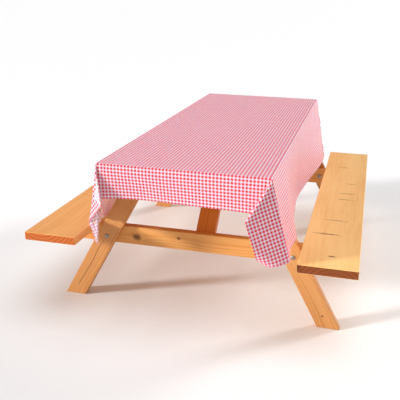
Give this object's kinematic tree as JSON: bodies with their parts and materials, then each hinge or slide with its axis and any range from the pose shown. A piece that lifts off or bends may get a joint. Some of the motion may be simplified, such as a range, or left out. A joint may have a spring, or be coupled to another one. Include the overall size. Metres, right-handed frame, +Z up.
{
  "type": "tablecloth on a picnic table",
  "caption": "Checked tablecloth draped over a wooden picnic table with attached benches; the cloth lifts off.",
  "frame": {"origin": "on the ground under the middle of the table", "axes": "+X across the table to the right-hand bench, +Y along the table, +Z up"},
  "size_m": [1.4, 2.057, 0.7298],
  "materials": {
    "gingham_cloth": "smooth coated cotton, red and white check, slight sheen",
    "oiled_pine": "planed pine, warm oil stain, knots",
    "zinc_steel": "zinc plated"
  },
  "bodies": {
    "table": {"top_plank_1": "oiled_pine", "top_plank_2": "oiled_pine", "top_plank_3": "oiled_pine", "top_plank_4": "oiled_pine", "top_plank_5": "oiled_pine", "bench_plank_left": "oiled_pine", "bench_plank_right": "oiled_pine", "top_batten_near": "oiled_pine", "top_batten_middle": "oiled_pine", "top_batten_far": "oiled_pine", "leg_near_left": "oiled_pine", "leg_near_right": "oiled_pine", "leg_far_left": "oiled_pine", "leg_far_right": "oiled_pine", "seat_bearer_near": "oiled_pine", "seat_bearer_far": "oiled_pine", "brace_near": "oiled_pine", "brace_far": "oiled_pine", "bolt_seat_near_left": "zinc_steel", "bolt_seat_near_right": "zinc_steel", "bolt_seat_far_left": "zinc_steel", "bolt_seat_far_right": "zinc_steel", "bolt_top_near_left": "zinc_steel", "bolt_top_near_right": "zinc_steel", "bolt_top_far_left": "zinc_steel", "bolt_top_far_right": "zinc_steel", "washer_seat_near_left": "zinc_steel", "washer_seat_near_right": "zinc_steel", "washer_seat_far_left": "zinc_steel", "washer_seat_far_right": "zinc_steel", "washer_top_near_left": "zinc_steel", "washer_top_near_right": "zinc_steel", "washer_top_far_left": "zinc_steel", "washer_top_far_right": "zinc_steel", "nut_seat_near_left": "zinc_steel", "nut_seat_near_right": "zinc_steel", "nut_seat_far_left": "zinc_steel", "nut_seat_far_right": "zinc_steel", "nut_top_near_left": "zinc_steel", "nut_top_near_right": "zinc_steel", "nut_top_far_left": "zinc_steel", "nut_top_far_right": "zinc_steel", "seat_screw_near_left_inner": "zinc_steel", "seat_screw_near_left_outer": "zinc_steel", "seat_screw_near_right_inner": "zinc_steel", "seat_screw_near_right_outer": "zinc_steel", "seat_screw_far_left_inner": "zinc_steel", "seat_screw_far_left_outer": "zinc_steel", "seat_screw_far_right_inner": "zinc_steel", "seat_screw_far_right_outer": "zinc_steel", "brace_screw_near_foot": "zinc_steel", "brace_screw_near_head": "zinc_steel", "brace_screw_far_foot": "zinc_steel", "brace_screw_far_head": "zinc_steel"},
    "tablecloth": {"tablecloth": "gingham_cloth"}
  },
  "joints": [
    {"name": "cloth_lift", "type": "slide", "parent": "table", "child": "tablecloth", "axis": [0, 0, 1], "range_m": [0, 0.42]}
  ]
}
